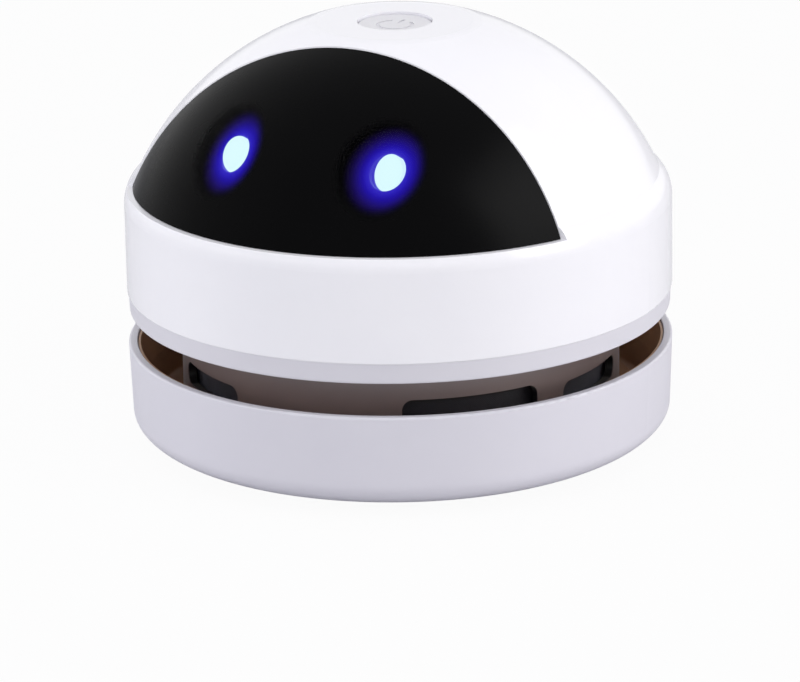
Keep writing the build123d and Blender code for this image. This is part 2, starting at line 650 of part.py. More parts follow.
# ---------------------------------------------------------------- eyes
def eye_plane(side):
    """Lens face of one eye: local Z looks out through the visor."""
    reach = DOME_R - EYE_DEPTH
    z = SHOULDER_Z + EYE_H
    y = -math.sqrt(reach ** 2 - EYE_SPREAD ** 2 - (z - DOME_Z) ** 2)
    tilt = math.radians(EYE_TILT)
    out = (0, -math.cos(tilt), math.sin(tilt))
    return Plane(origin=(side * EYE_SPREAD, y, z), x_dir=(1, 0, 0), z_dir=out)


def middle_plane():
    """The lens plane where it meets the middle of the head."""
    eye = eye_plane(1)
    return Plane(origin=(0, eye.origin.Y, eye.origin.Z), x_dir=(1, 0, 0), z_dir=eye.z_dir)


def lens_prism(side, grow, depth):
    """Upright oval bar behind a lens face."""
    oval = Ellipse(EYE_W / 2 + grow, EYE_TALL / 2 + grow)
    return eye_plane(side) * Pos(0, 0, -depth) * extrude(oval, depth)


def eye_lens(side):
    """Clear light guide with a softened rim."""
    lens = lens_prism(side, 0, LENS_L)
    front = eye_plane(side)
    rim = [e for e in lens.edges() if abs(front.to_local_coords(e.center()).Z) < SEAM]
    return fillet(rim, LENS_FIT * 2)


def visor_mask():
    """Black light baffle behind the visor: glue rim, lens collars and two board posts."""
    mask = ball_shell(MASK_R - MASK_T, MASK_R) & face_region(MASK_INSET)
    rim = ball_shell(MASK_R - MASK_T, SHELL_INNER_R - SEAM) & face_region(MASK_INSET)
    mask += rim - face_region(VISOR_LEDGE - SEAM)
    inside = Pos(0, 0, DOME_Z) * Sphere(MASK_R - MASK_T / 2)
    board_front = LENS_L + LED_H
    for side in (-1, 1):
        post = rod(MASK_POST_R, -board_front, 2 * BOARD_T + LENS_L)
        placed = middle_plane() * Pos(side * MASK_POST_X, 0, 0) * post
        mask += placed & inside
        hole = middle_plane() * Pos(side * MASK_POST_X, 0, -board_front) * pilot(SHORT_SCREW_L)
        mask -= hole
        mask += lens_prism(side, LENS_FIT + LENS_COLLAR_T, LENS_L) & inside
        bore = Pos(0, 0, -LENS_L) * extrude(Ellipse(EYE_W / 2 + LENS_FIT, EYE_TALL / 2 + LENS_FIT), 4 * LENS_L)
        mask -= eye_plane(side) * bore
    return mask


def eye_board():
    """Strip board behind both lenses."""
    back = -LENS_L - LED_H - BOARD_T
    board = extrude(RectangleRounded(EYE_BOARD_L, EYE_BOARD_W, BOARD_ROUND), BOARD_T)
    for side in (-1, 1):
        board -= Pos(side * MASK_POST_X, 0, 0) * rod(SCREW_R + SCREW_HOLE_FIT, -1, BOARD_T + 1)
    return middle_plane() * Pos(0, 0, back) * board


def eye_leds():
    """One square lamp behind each lens."""
    lamp = Box(LED_W, LED_TALL, LED_H, align=ON_FLOOR)
    lamp -= Pos(0, 0, LED_H - LED_DISH) * Cylinder(LED_DISH_R, LED_H, align=ON_FLOOR)
    return Compound([eye_plane(s) * Pos(0, 0, -LENS_L - LED_H) * lamp for s in (-1, 1)])


def eye_board_screws():
    back = -LENS_L - LED_H - BOARD_T
    fastener = screw(BOARD_T + SHORT_SCREW_L)
    return Compound([middle_plane() * Pos(s * MASK_POST_X, 0, back) * fastener for s in (-1, 1)])


# ---------------------------------------------------------------- motor
def motor_can():
    """Steel can, closed below, with a bush seat and two threaded holes."""
    can = rod(MOTOR_R, MOTOR_Z, MOTOR_TOP_Z - END_CAP_H)
    can = fillet(can.edges().filter_by(GeomType.CIRCLE).sort_by(Axis.Z)[0], CAN_T)
    can -= rod(MOTOR_R - CAN_T, MOTOR_Z + 2 * CAN_T, MOTOR_TOP_Z)
    can -= rod(BUSH_R, MOTOR_Z - 1, MOTOR_TOP_Z)
    for side in (-1, 1):
        can -= Pos(side * MOTOR_SCREW_X, 0, MOTOR_Z) * pilot(2 * CAN_T)
    return can


def motor_bush(z):
    """Sintered bearing bush."""
    return ring(SHAFT_R + SHAFT_RUN, BUSH_R, z, z + BUSH_L)


def front_bush_z():
    return MOTOR_Z + 2 * CAN_T - BUSH_L


def motor_magnets():
    """Two curved magnets against the can's wall."""
    outer = MOTOR_R - CAN_T
    z0 = MOTOR_Z + 2 * CAN_T + BUSH_L / 2
    z1 = z0 + ARMATURE_L + 2 * ARMATURE_SET
    arcs = [sector(outer - MAGNET_T, outer, z0, z1, b, MAGNET_SPAN) for b in (90, 270)]
    return Compound(arcs)


def motor_end_cap():
    """Nylon cap that carries the rear bush and the terminals."""
    cap = rod(MOTOR_R - SEAM, MOTOR_TOP_Z - END_CAP_H, MOTOR_TOP_Z)
    cap = fillet(cap.edges().filter_by(GeomType.CIRCLE).sort_by(Axis.Z)[-1], END_CAP_H / 3)
    cap += rod(MOTOR_R - CAN_T - SEAM, MOTOR_TOP_Z - 2 * END_CAP_H, MOTOR_TOP_Z - END_CAP_H / 2)
    cap -= rod(BUSH_R, MOTOR_TOP_Z - 3 * END_CAP_H, MOTOR_TOP_Z + 1)
    for side in (-1, 1):
        cap -= Pos(side * TERMINAL_X, 0, 0) * terminal_blank()
    return cap


def terminal_blank():
    """Flat tab through the end cap."""
    z0 = MOTOR_TOP_Z - END_CAP_H
    return block(-SHAFT_R, SHAFT_R, -SEAM * 2, SEAM * 2, z0, MOTOR_TOP_Z + TERMINAL_H)


def motor_terminals():
    return Compound([Pos(s * TERMINAL_X, 0, 0) * terminal_blank() for s in (-1, 1)])


def motor_damper():
    """Rubber disc between motor and deck."""
    disc = ring(BUSH_R + PLUG_FIT, MOTOR_R, DECK_TOP_Z, MOTOR_Z)
    for side in (-1, 1):
        disc -= Pos(side * MOTOR_SCREW_X, 0, 0) * rod(SCREW_R + SCREW_HOLE_FIT, 0, MOTOR_Z + 1)
    return disc


def motor_screws():
    head_z = SKIRT_Z + SCREW_HEAD_H
    fastener = screw(MOTOR_Z - head_z + 2 * CAN_T)
    return Compound([Pos(s * MOTOR_SCREW_X, 0, head_z) * fastener for s in (-1, 1)])


def motor_shaft():
    """Shaft from the impeller's hub to the rear bush."""
    return rod(SHAFT_R, SHAFT_Z, MOTOR_TOP_Z - SEAM)


def armature():
    """Five wound poles and the commutator on the shaft."""
    z0 = MOTOR_Z + 2 * CAN_T + BUSH_L / 2 + ARMATURE_SET
    top = z0 + ARMATURE_L
    core = ring(SHAFT_R + PRESS_FIT, ARMATURE_R, z0, top)
    for k in range(ARMATURE_POLES):
        slot = block(ARMATURE_SLOT_R, ARMATURE_R + 1, -SHAFT_R, SHAFT_R, z0 - 1, top + 1)
        core -= Rot(0, 0, 360 * k / ARMATURE_POLES) * slot
    return core + ring(SHAFT_R + PRESS_FIT, BUSH_R, top - 1, MOTOR_TOP_Z - 2 * END_CAP_H - SEAM)


def impeller():
    """Centrifugal wheel: back plate, hub and swept blades."""
    wheel = rod(FAN_R, BLADE_TOP_Z, FAN_TOP_Z)
    wheel += rod(HUB_R, SHAFT_Z, FAN_TOP_Z)
    end = math.radians(-BLADE_SWEEP)
    middle = math.radians(-BLADE_SWEEP_MIDDLE)
    middle_r = (BLADE_ROOT_R + FAN_R) / 2
    tip_r = FAN_R - BLADE_T
    path = ThreePointArc(
        (BLADE_ROOT_R, 0),
        (middle_r * math.cos(middle), middle_r * math.sin(middle)),
        (tip_r * math.cos(end), tip_r * math.sin(end)))
    blade = Pos(0, 0, BLADE_Z) * extrude(trace(path, BLADE_T), BLADE_H + FAN_PLATE_T / 2)
    for k in range(BLADE_COUNT):
        wheel += Rot(0, 0, 360 * k / BLADE_COUNT) * blade
    return wheel - rod(SHAFT_R + PRESS_FIT, SHAFT_Z, FAN_TOP_Z + 1)


# ---------------------------------------------------------------- battery
def cell_axis():
    """Cell lies across the head, behind the motor."""
    return Pos(0, CELL_Y, CELL_Z) * Rot(0, 90, 0)


def battery_cell():
    """Round lithium cell with its raised positive cap."""
    can = Cylinder(CELL_R, CELL_L)
    can = fillet(can.edges().filter_by(GeomType.CIRCLE), CELL_ROUND)
    nub = Pos(0, 0, CELL_L / 2) * Cylinder(CELL_NUB_R, CONTACT_T * 2, align=ON_FLOOR)
    return cell_axis() * (can + nub)


def cradle_half_length():
    return CELL_L / 2 + 2 * CONTACT_T + CONTACT_T + CRADLE_FIT


def battery_cradle():
    """Open trough with end walls, standing in the well of the cover."""
    inner = cradle_half_length()
    outer = inner + CRADLE_WALL
    tray = block(-outer, outer, CRADLE_Y0, CRADLE_Y1, COVER_TOP_Z, CELL_Z)
    well_x = math.sqrt(SKIRT_BORE_R ** 2 - CELL_Y ** 2) - PLUG_FIT
    tray += block(-well_x, well_x, CRADLE_Y0, CELL_Y, DECK_TOP_Z, COVER_TOP_Z)
    tray -= Pos(0, CELL_Y, CELL_Z) * Rot(0, 90, 0) * Cylinder(CELL_R + CRADLE_FIT, 2 * inner)
    for side in (-1, 1):
        end = block(inner, outer, CRADLE_Y0, CRADLE_Y1, CELL_Z, CELL_Z + CELL_R / 2)
        tray += mirror(end, Plane.YZ) if side < 0 else end
    return tray


def cell_contacts():
    """Nickel strips between the cell's ends and the cradle's end walls."""
    strip = block(0, CONTACT_T, -CONTACT_W / 2, CONTACT_W / 2, -CELL_R / 2, CELL_R)
    x = cradle_half_length() - CONTACT_T
    return Compound([Pos(s * x + (0 if s > 0 else -CONTACT_T), CELL_Y, CELL_Z) * strip for s in (-1, 1)])


# ---------------------------------------------------------------- charging board
def charge_board():
    """Small board on two posts of the cover, under the socket."""
    board = block(-CHARGE_W / 2, CHARGE_W / 2, CHARGE_Y0, CHARGE_Y1, CHARGE_Z, CHARGE_TOP_Z)
    corners = board.edges().filter_by(Axis.Z)
    return fillet(corners, BOARD_ROUND)


def charge_socket():
    """Oblong metal socket with its contact tongue."""
    shell = extrude(Plane.XZ * RectangleRounded(SOCKET_W, SOCKET_H, SOCKET_H / 2 - SEAM), SOCKET_L)
    hole = RectangleRounded(SOCKET_W - 2 * SOCKET_SKIN, SOCKET_H - 2 * SOCKET_SKIN, SOCKET_H / 2 - SOCKET_SKIN - SEAM)
    shell -= extrude(Plane.XZ * hole, SOCKET_L - 2 * SOCKET_SKIN)
    tongue = Box(TONGUE_W, TONGUE_L, TONGUE_T, align=(Align.CENTER, Align.MIN, Align.CENTER))
    tongue = Pos(0, -SOCKET_L + SOCKET_SKIN, 0) * tongue
    return Pos(0, SOCKET_MOUTH_Y, CHARGE_TOP_Z + SOCKET_H / 2) * (shell + tongue)


def charge_chips():
    """Charging chip and its coil beside the socket."""
    chip = Box(CHIP_W, CHIP_L, CHIP_H, align=ON_FLOOR)
    coil = Box(COIL_W, COIL_W, COIL_H, align=ON_FLOOR)
    coil = fillet(coil.edges().filter_by(Axis.Z), COIL_ROUND)
    y = (CHARGE_Y0 + CHARGE_Y1) / 2
    x = (CHARGE_W + SOCKET_W) / 4
    return Compound([Pos(-x, y, CHARGE_TOP_Z) * chip, Pos(x, y, CHARGE_TOP_Z) * coil])


def motor_leads():
    """Two leads from the motor's terminals, over the cell, down to the board."""
    start = MOTOR_TOP_Z + TERMINAL_H
    over = start + LEAD_BEND + LEAD_R
    back = CHARGE_Y0 + 2 * LEAD_R
    leads = []
    for side in (-1, 1):
        x = side * TERMINAL_X
        route = FilletPolyline(
            (x, 0, start), (x, 0, over), (x, back, over), (x, back, CHARGE_TOP_Z),
            radius=(LEAD_BEND, LEAD_SWEEP))
        leads.append(sweep(Plane(route @ 0, z_dir=route % 0) * Circle(LEAD_R), path=route))
    return Compound([lead.solid() for lead in leads])


# ---------------------------------------------------------------- switch and button
def switch_board():
    """Round board under the button."""
    board = rod(SWITCH_BOARD_R, SWITCH_BOARD_Z, SWITCH_BOARD_TOP_Z)
    for side in (-1, 1):
        board -= Pos(side * SWITCH_POST_X, 0, 0) * rod(SCREW_R + SCREW_HOLE_FIT, 0, CROWN_Z)
    return board


def switch_screws():
    fastener = screw(BOARD_T + SHORT_SCREW_L)
    return Compound([Pos(s * SWITCH_POST_X, 0, SWITCH_BOARD_Z) * fastener for s in (-1, 1)])


def switch_body():
    """Square push switch with a bore for its plunger."""
    half = SWITCH_W / 2
    body = block(-half, half, -half, half, SWITCH_BOARD_TOP_Z, SWITCH_TOP_Z)
    return body - rod(PLUNGER_R + PLUG_FIT / 4, SWITCH_TOP_Z - 2 * BUTTON_TRAVEL, SWITCH_TOP_Z + 1)


def switch_plunger():
    """Round plunger under the button's stem."""
    return rod(PLUNGER_R, SWITCH_TOP_Z - BUTTON_TRAVEL / 2, PLUNGER_TOP_Z)


def power_button():
    """Dished cap with a retaining flange, a stem and an engraved power mark."""
    cap = rod(BUTTON_R, FLANGE_TOP_Z - FLANGE_T / 2, BUTTON_FACE_Z)
    cap = fillet(cap.edges().filter_by(GeomType.CIRCLE).sort_by(Axis.Z)[-1], BUTTON_DISH)
    flange = rod(BUTTON_R + FLANGE_OVER, FLANGE_Z, FLANGE_TOP_Z)
    stem = rod(STEM_R, STEM_Z, FLANGE_TOP_Z)
    dish_r = (BUTTON_R ** 2 + BUTTON_DISH ** 2) / (2 * BUTTON_DISH)
    dish = Pos(0, 0, BUTTON_FACE_Z - BUTTON_DISH + dish_r) * Sphere(dish_r)
    mark_z = BUTTON_FACE_Z - BUTTON_DISH - MARK_DEPTH
    arc = sector(MARK_R - MARK_W / 2, MARK_R + MARK_W / 2, mark_z, BUTTON_FACE_Z + 1, 0, MARK_SPAN)
    bar = block(-MARK_W / 2, MARK_W / 2, MARK_BAR_IN, MARK_BAR_OUT, mark_z, BUTTON_FACE_Z + 1)
    return cap + flange + stem - dish - arc - bar


def button_spring():
    """Return spring between the switch's frame and the button's flange."""
    z0 = SWITCH_TOP_Z + SPRING_WIRE
    height = FLANGE_Z - SPRING_WIRE - z0
    coil = Helix(height / SPRING_TURNS, height, SPRING_R)
    wire = sweep(Plane(coil @ 0, z_dir=coil % 0) * Circle(SPRING_WIRE), path=coil, is_frenet=True)
    return Pos(0, 0, z0) * wire


# ---------------------------------------------------------------- all nodes
def all_parts():
    return {
        "base_shell": base_shell(),
        "rubber_feet": rubber_feet(),
        "dust_cup": dust_cup(),
        "intake_plate": intake_plate(),
        "brush_tufts": brush_tufts(),
        "plate_screws": plate_screws(),
        "filter_drum": filter_drum(),
        "filter_screen": filter_screen(),
        "screen_mesh": screen_mesh(),
        "upper_shell": upper_shell(),
        "visor": visor(),
        "lower_cover": lower_cover(),
        "drum_seal": drum_seal(),
        "cover_screws": cover_screws(),
        "visor_mask": visor_mask(),
        "eye_lens_left": eye_lens(1),
        "eye_lens_right": eye_lens(-1),
        "eye_board": eye_board(),
        "eye_leds": eye_leds(),
        "eye_board_screws": eye_board_screws(),
        "motor_can": motor_can(),
        "front_bush": motor_bush(front_bush_z()),
        "rear_bush": motor_bush(MOTOR_TOP_Z - BUSH_L),
        "motor_magnets": motor_magnets(),
        "motor_end_cap": motor_end_cap(),
        "motor_terminals": motor_terminals(),
        "motor_damper": motor_damper(),
        "motor_screws": motor_screws(),
        "motor_leads": motor_leads(),
        "battery_cell": battery_cell(),
        "battery_cradle": battery_cradle(),
        "cell_contacts": cell_contacts(),
        "charge_board": charge_board(),
        "charge_socket": charge_socket(),
        "charge_chips": charge_chips(),
        "switch_board": switch_board(),
        "switch_screws": switch_screws(),
        "switch_body": switch_body(),
        "motor_shaft": motor_shaft(),
        "armature": armature(),
        "impeller": impeller(),
        "power_button": power_button(),
        "button_spring": button_spring(),
        "switch_plunger": switch_plunger(),
    }


os.makedirs("parts", exist_ok=True)
for node, piece in all_parts().items():
    export_step(piece, f"parts/{node}.step")
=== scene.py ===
import math

import bmesh
import bpy
from mathutils import Matrix, Vector


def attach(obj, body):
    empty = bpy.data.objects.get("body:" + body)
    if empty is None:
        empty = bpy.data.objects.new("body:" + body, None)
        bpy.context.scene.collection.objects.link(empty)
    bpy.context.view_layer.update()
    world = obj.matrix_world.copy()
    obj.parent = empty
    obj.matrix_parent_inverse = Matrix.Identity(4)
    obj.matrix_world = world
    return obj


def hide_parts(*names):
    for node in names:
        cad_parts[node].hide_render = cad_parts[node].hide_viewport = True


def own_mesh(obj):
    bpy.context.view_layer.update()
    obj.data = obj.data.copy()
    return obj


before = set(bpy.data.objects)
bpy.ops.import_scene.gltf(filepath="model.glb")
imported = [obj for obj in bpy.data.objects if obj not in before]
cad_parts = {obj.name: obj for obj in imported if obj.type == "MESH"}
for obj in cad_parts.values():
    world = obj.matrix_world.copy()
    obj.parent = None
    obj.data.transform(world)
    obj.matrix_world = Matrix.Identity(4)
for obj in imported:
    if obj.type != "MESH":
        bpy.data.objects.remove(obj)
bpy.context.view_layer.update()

# ---------------------------------------------------------------- base shell
# The white bowl that stands on the desk and holds the dust cup. It is moulded ABS, polished outside,
# with a rounded bottom edge and a thin rim that the head hangs over.
MM = 0.001


class Wire:
    """The end of a lead between two shader nodes, which can be used in sums."""

    def __init__(self, finish, socket):
        self.finish = finish
        self.socket = socket

    def sum_with(self, operation, first, second):
        return self.finish.node("ShaderNodeMath", {"operation": operation}, {0: first, 1: second})

    def __add__(self, other):
        return self.sum_with("ADD", self, other)

    def __radd__(self, other):
        return self.sum_with("ADD", other, self)

    def __sub__(self, other):
        return self.sum_with("SUBTRACT", self, other)

    def __mul__(self, other):
        return self.sum_with("MULTIPLY", self, other)

    def __truediv__(self, other):
        return self.sum_with("DIVIDE", self, other)

    def __pow__(self, other):
        return self.sum_with("POWER", self, other)


class Finish:
    """A material of this cleaner: a Principled surface and the nodes that vary it."""

    def __init__(self, name, sockets):
        self.material = bpy.data.materials.new(name)
        self.material.use_nodes = True
        self.tree = self.material.node_tree
        self.surface = self.tree.nodes["Principled BSDF"]
        for socket, value in sockets.items():
            self.feed(socket, value)

    def feed(self, socket, value, node=None):
        into = (node or self.surface).inputs[socket]
        if isinstance(value, Wire):
            self.tree.links.new(value.socket, into)
        elif hasattr(value, "__len__") and len(value) == 3 and into.type == "RGBA":
            into.default_value = (*value, 1.0)
        else:
            into.default_value = value

    def node(self, kind, settings=None, sockets=None, out=0):
        made = self.tree.nodes.new(kind)
        for name, value in (settings or {}).items():
            if name == "stops":
                ramp = made.color_ramp
                while len(ramp.elements) < len(value):
                    ramp.elements.new(0.5)
                for element, (place, colour) in zip(ramp.elements, value):
                    element.position = place
                    element.color = (*colour, 1.0)
            else:
                setattr(made, name, value)
        for name, value in (sockets or {}).items():
            self.feed(name, value, made)
        return Wire(self, made.outputs[out])

    def place(self):
        return self.node("ShaderNodeTexCoord", out="Object")

    def axes(self):
        split = self.node("ShaderNodeSeparateXYZ", sockets={0: self.place()}).socket.node
        return [Wire(self, split.outputs[i]) for i in range(3)]

    def noise(self, size, detail=2.0, stretch=(1, 1, 1)):
        """Noise from 0 to 1 whose lumps are about size across, in metres."""
        spread = self.node("ShaderNodeVectorMath", {"operation": "MULTIPLY"}, {0: self.place(), 1: stretch})
        return self.node("ShaderNodeTexNoise", None,
                         {"Vector": spread, "Scale": 1 / size, "Detail": detail})

    def mix(self, share, first, second):
        """One colour fading into another as share goes from 0 to 1."""
        return self.node("ShaderNodeMix", {"data_type": "RGBA"}, {0: share, 6: first, 7: second}, out=2)

    def tones(self, size, detail, first, second):
        """Colours the surface in soft lumps of two tones, given in screen values."""
        self.feed("Base Color", self.mix(self.noise(size, detail), tone(*first), tone(*second)))

    def worn(self, least, more, *lumps):
        """A roughness that wanders from least up by more, in lumps of noise."""
        self.feed("Roughness", least + self.noise(*lumps) * more)

    def grain(self, height, depth):
        """Relief of the surface, depth in metres, for the Normal socket."""
        self.feed("Normal", self.node("ShaderNodeBump", None,
                                      {"Strength": 1.0, "Distance": depth, "Height": height}))

    def dress(self, *nodes):
        for name in nodes:
            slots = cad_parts[name].data.materials
            slots.clear()
            slots.append(self.material)


def tone(red, green, blue):
    """A colour written in screen values from 0 to 255, as the shader wants it."""
    return tuple((v / 255 / 12.92) if v < 10.3 else ((v / 255 + 0.055) / 1.055) ** 2.4
                 for v in (red, green, blue))


def moulded(name, colour, darker, roughness, peel, depth, coat=0.0):
    """Injection-moulded plastic: a faint flow mottle, uneven gloss, and the mould's grain of this
    size and depth."""
    made = Finish(name, {"IOR": 1.5, "Coat Weight": coat, "Coat Roughness": 0.06})
    made.tones(9 * MM, 3, darker, colour)
    made.worn(roughness, 0.08, 4 * MM, 4)
    made.grain(made.noise(peel, 2), depth)
    return made


# The bowl's white is painted darker than the head's white: painted shade on its lower wall.
base_white_painted_shade = moulded("base_white_painted_shade", (221, 219, 228), (217, 215, 225), 0.30, 0.5 * MM, 0.002 * MM)
base_white_painted_shade.dress("base_shell")

# ---------------------------------------------------------------- rubber feet
# Four round pads of soft grey rubber, pressed into pockets under the base. They keep it from
# sliding. The ring in the skirt's groove and the disc under the motor are made of the same rubber.
rubber = Finish("foot_rubber", {"Roughness": 0.8, "IOR": 1.5, "Specular IOR Level": 0.3})
rubber.tones(1.5 * MM, 4, (62, 62, 65), (84, 84, 87))
rubber.grain(rubber.noise(0.25 * MM, 3), 0.01 * MM)
rubber.dress("rubber_feet", "drum_seal", "motor_damper")

# ---------------------------------------------------------------- dust cup
# The smoke-brown cup inside the base that catches the crumbs, with the chimney that they come up in.
# It is clear-tinted plastic, glued down on the base's floor.
smoke_brown = Finish("smoke_brown", {"IOR": 1.52, "Specular IOR Level": 0.25})
# The brown is painted much lighter than the smoked plastic is: painted light inside the dim gap round the
# drum.
smoke_brown.tones(6 * MM, 3, (186, 142, 106), (202, 158, 120))
smoke_brown.worn(0.34, 0.1, 2 * MM, 3)
smoke_brown.grain(smoke_brown.noise(1.2 * MM), 0.002 * MM)
smoke_brown.dress("dust_cup")

# ---------------------------------------------------------------- intake plate
# The round plate under the suction mouth, moulded in matt white. Pan-head screws hold it, and it
# carries the tufts.
plate_white = moulded("plate_white", (226, 226, 230), (220, 220, 225), 0.42, 0.3 * MM, 0.004 * MM)
plate_white.dress("intake_plate", "battery_cradle")

# All the screws, and the other pieces of bright steel.
steel = Finish("steel", {"Metallic": 1.0, "IOR": 2.5})
steel.tones(1.1 * MM, 4, (186, 187, 190), (208, 209, 212))
steel.worn(0.24, 0.2, 0.6 * MM, 4, (1, 1, 8))
steel.grain(steel.noise(0.35 * MM, 3, (1, 1, 10)), 0.003 * MM)
steel.dress("plate_screws", "cover_screws", "eye_board_screws", "motor_screws", "switch_screws",
            "motor_can", "motor_shaft", "cell_contacts", "button_spring")

# ---------------------------------------------------------------- brush tufts
# Bunches of dark nylon bristles, stapled into the plate in a ring round the mouth. Each bristle
# tapers and bends a little outwards, and its tip clears the desk.
TUFTS = 28
TUFT_RING_R = 14.5 * MM
TUFT_R = 0.6 * MM
BRISTLES = 30
BRISTLE_R = 0.055 * MM
TUFT_TOP = 3.6 * MM
TUFT_TIP = 0.15 * MM
TIP_SPREAD = 0.35 * MM
LEAN = 0.45
GOLDEN_TURN = 2.39996
BRISTLE_STEPS = 3
BRISTLE_SIDES = 5
TAPER = (1.0, 1.0, 0.9, 0.55)


def closed_mesh(name, points, faces, smooth=True, sharp=None):
    """A piece made of these points and faces, with its faces turned outwards."""
    mesh = bpy.data.meshes.new(name)
    mesh.from_pydata(points, [], faces)
    work = bmesh.new()
    work.from_mesh(mesh)
    bmesh.ops.recalc_face_normals(work, faces=work.faces)
    work.to_mesh(mesh)
    work.free()
    mesh.polygons.foreach_set("use_smooth", [smooth] * len(mesh.polygons))
    if sharp is not None:
        mesh.set_sharp_from_angle(angle=math.radians(sharp))
    piece = bpy.data.objects.new(name, mesh)
    bpy.context.scene.collection.objects.link(piece)
    return piece


def tube_rings(centres, radii, sides, points, faces):
    """Adds a capped tube along the centres, with its cross-section turned to its path."""
    first = len(points)
    along = [Vector(c) for c in centres]
    for i, (c, r) in enumerate(zip(along, radii)):
        ahead = along[min(i + 1, len(along) - 1)] - along[max(i - 1, 0)]
        ahead.normalize()
        level = Vector((0, 0, 1)) if abs(ahead.z) < 0.9 else Vector((1, 0, 0))
        side = ahead.cross(level).normalized()
        up = side.cross(ahead)
        for k in range(sides):
            a = math.tau * k / sides
            points.append(tuple(c + side * (r * math.cos(a)) + up * (r * math.sin(a))))
    for i in range(len(along) - 1):
        for k in range(sides):
            a = first + i * sides + k
            b = first + i * sides + (k + 1) % sides
            faces.append((a, b, b + sides, a + sides))
    last = first + (len(along) - 1) * sides
    faces.append(tuple(range(first + sides - 1, first - 1, -1)))
    faces.append(tuple(range(last, last + sides)))


tuft_points, tuft_faces = [], []
for t in range(TUFTS):
    bearing = math.tau * t / TUFTS
    out = Vector((math.sin(bearing), -math.cos(bearing), 0))
    across = Vector((-out.y, out.x, 0))
    root = out * TUFT_RING_R
    for b in range(BRISTLES):
        reach = TUFT_R * math.sqrt((b + 0.5) / BRISTLES) * 0.9
        turn = b * GOLDEN_TURN + t
        foot = out * (reach * math.cos(turn)) + across * (reach * math.sin(turn))
        lean = foot * LEAN
        tip = TUFT_TIP + TIP_SPREAD * (0.5 + 0.5 * math.sin(7.3 * b + 3.1 * t))
        line = []
        for step in range(BRISTLE_STEPS + 1):
            down = step / BRISTLE_STEPS
            height = TUFT_TOP + (tip - TUFT_TOP) * down
            line.append(root + foot + lean * (down * down) + Vector((0, 0, height)))
        tube_rings(line, [BRISTLE_R * share for share in TAPER], BRISTLE_SIDES, tuft_points, tuft_faces)
tufts = closed_mesh("bristle_ring", tuft_points, tuft_faces)
nylon = Finish("tuft_nylon", {"Roughness": 0.45, "IOR": 1.53})
nylon.tones(0.4 * MM, 2, (46, 46, 50), (74, 74, 80))
tufts.data.materials.append(nylon.material)
nylon.dress("brush_tufts")
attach(tufts, "base")
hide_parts("brush_tufts")

# ---------------------------------------------------------------- filter drum
# The smoke-grey drum between the cup and the head, with rounded windows for the air. Its three lugs
# lock under the cup's hooks. It is tinted plastic, and its inside and window jambs are painted near-black
# as painted shade.
DRUM_SKIN = 34.4 * MM
DRUM_FACE = 34.56 * MM
smoke_grey = Finish("smoke_grey", {"IOR": 1.58, "Coat Roughness": 0.38, "Coat IOR": 1.9,
                                   "Sheen Weight": 0.9, "Sheen Roughness": 0.3})
smoked = smoke_grey.mix(smoke_grey.noise(7 * MM, 3), tone(112, 98, 99), tone(124, 109, 108))
dx, dy, _ = smoke_grey.axes()
painted_shade_edge = smoke_grey.node("ShaderNodeMapRange", {"interpolation_type": "SMOOTHSTEP"},
                       {"Value": (dx * dx + dy * dy) ** 0.5, "From Min": DRUM_SKIN, "From Max": DRUM_FACE})
# Inside the outer skin the drum is painted near-black: painted shade on its inner face and window jambs.
smoke_grey.feed("Base Color", smoke_grey.mix(painted_shade_edge, tone(10, 8, 9), smoked))
smoke_grey.feed("Coat Weight", painted_shade_edge)
smoke_grey.worn(0.36, 0.08, 3 * MM, 3)
smoke_grey.grain(smoke_grey.noise(1.4 * MM), 0.002 * MM)
smoke_grey.dress("filter_drum")

# ---------------------------------------------------------------- filter screen
# A black cage with the fine blue-black gauze that keeps the dust from the fan. It drops into the
# drum and lifts out again to be washed.
cage = Finish("frame_dark", {"IOR": 1.5})
cage.tones(2 * MM, 3, (20, 20, 22), (34, 34, 37))
cage.worn(0.45, 0.15, 1 * MM, 3)
cage.grain(cage.noise(0.3 * MM), 0.006 * MM)
cage.dress("filter_screen")

gauze = Finish("mesh_blue", {"Roughness": 0.55, "IOR": 1.5, "Sheen Weight": 0.8, "Sheen Roughness": 0.4,
                             "Sheen Tint": (0.85, 0.85, 1.0)})
THREAD = 0.36 * MM
GAUZE_R = 32.4 * MM
gx, gy, gz = gauze.axes()
bearing_at = gauze.node("ShaderNodeMath", {"operation": "ARCTAN2"}, {0: gy, 1: gx})
around = bearing_at * (GAUZE_R * math.tau / THREAD)
weft = gauze.node("ShaderNodeMath", {"operation": "SINE"}, {0: around})
warp = gauze.node("ShaderNodeMath", {"operation": "SINE"}, {0: gz * (math.tau / THREAD)})
weave = weft * warp * 0.5 + 0.5
gauze.feed("Base Color", gauze.mix(weave, tone(10, 10, 15), tone(36, 34, 46)))
gauze.grain(weave, 0.05 * MM)
gauze.dress("screen_mesh")

# ---------------------------------------------------------------- lower cover
# The head's floor: a greyish-white ring that closes the shell from below, with the skirt that turns
# in the drum and the deck that the motor and the cell stand on. Screws from below hold it.
# Its grey is partly the cover's own tone and partly painted shade on the strip under the band.
cover_grey = moulded("cover_grey", (220, 218, 226), (216, 214, 223), 0.34, 0.4 * MM, 0.003 * MM)
cover_grey.dress("lower_cover")

# ---------------------------------------------------------------- upper shell
# The head's dome, moulded in gloss white, with the straight band below the shoulder, the sunk field
# for the visor and the hole for the button.
shell_white = moulded("shell_white", (247, 246, 251), (244, 243, 249), 0.14, 1.1 * MM, 0.0015 * MM, 0.15)
shell_white.dress("upper_shell")

# ---------------------------------------------------------------- visor
# A piece of the same ball in smoked acrylic, glued into the sunk field and printed black on its back.
# The print leaves two soft-edged windows, and the lights show through the smoked plastic there.
EYE_X = 13.0 * MM
EYE_Y = -28.63 * MM
EYE_Z = 51.5 * MM
EYE_TILT = math.radians(28)
EYE_HALF_W = 2.35 * MM
EYE_HALF_H = 2.95 * MM
VISOR_DEPTH = 0.50
WINDOW_CLEAR = 2.05
WINDOW_EDGE = 3.0


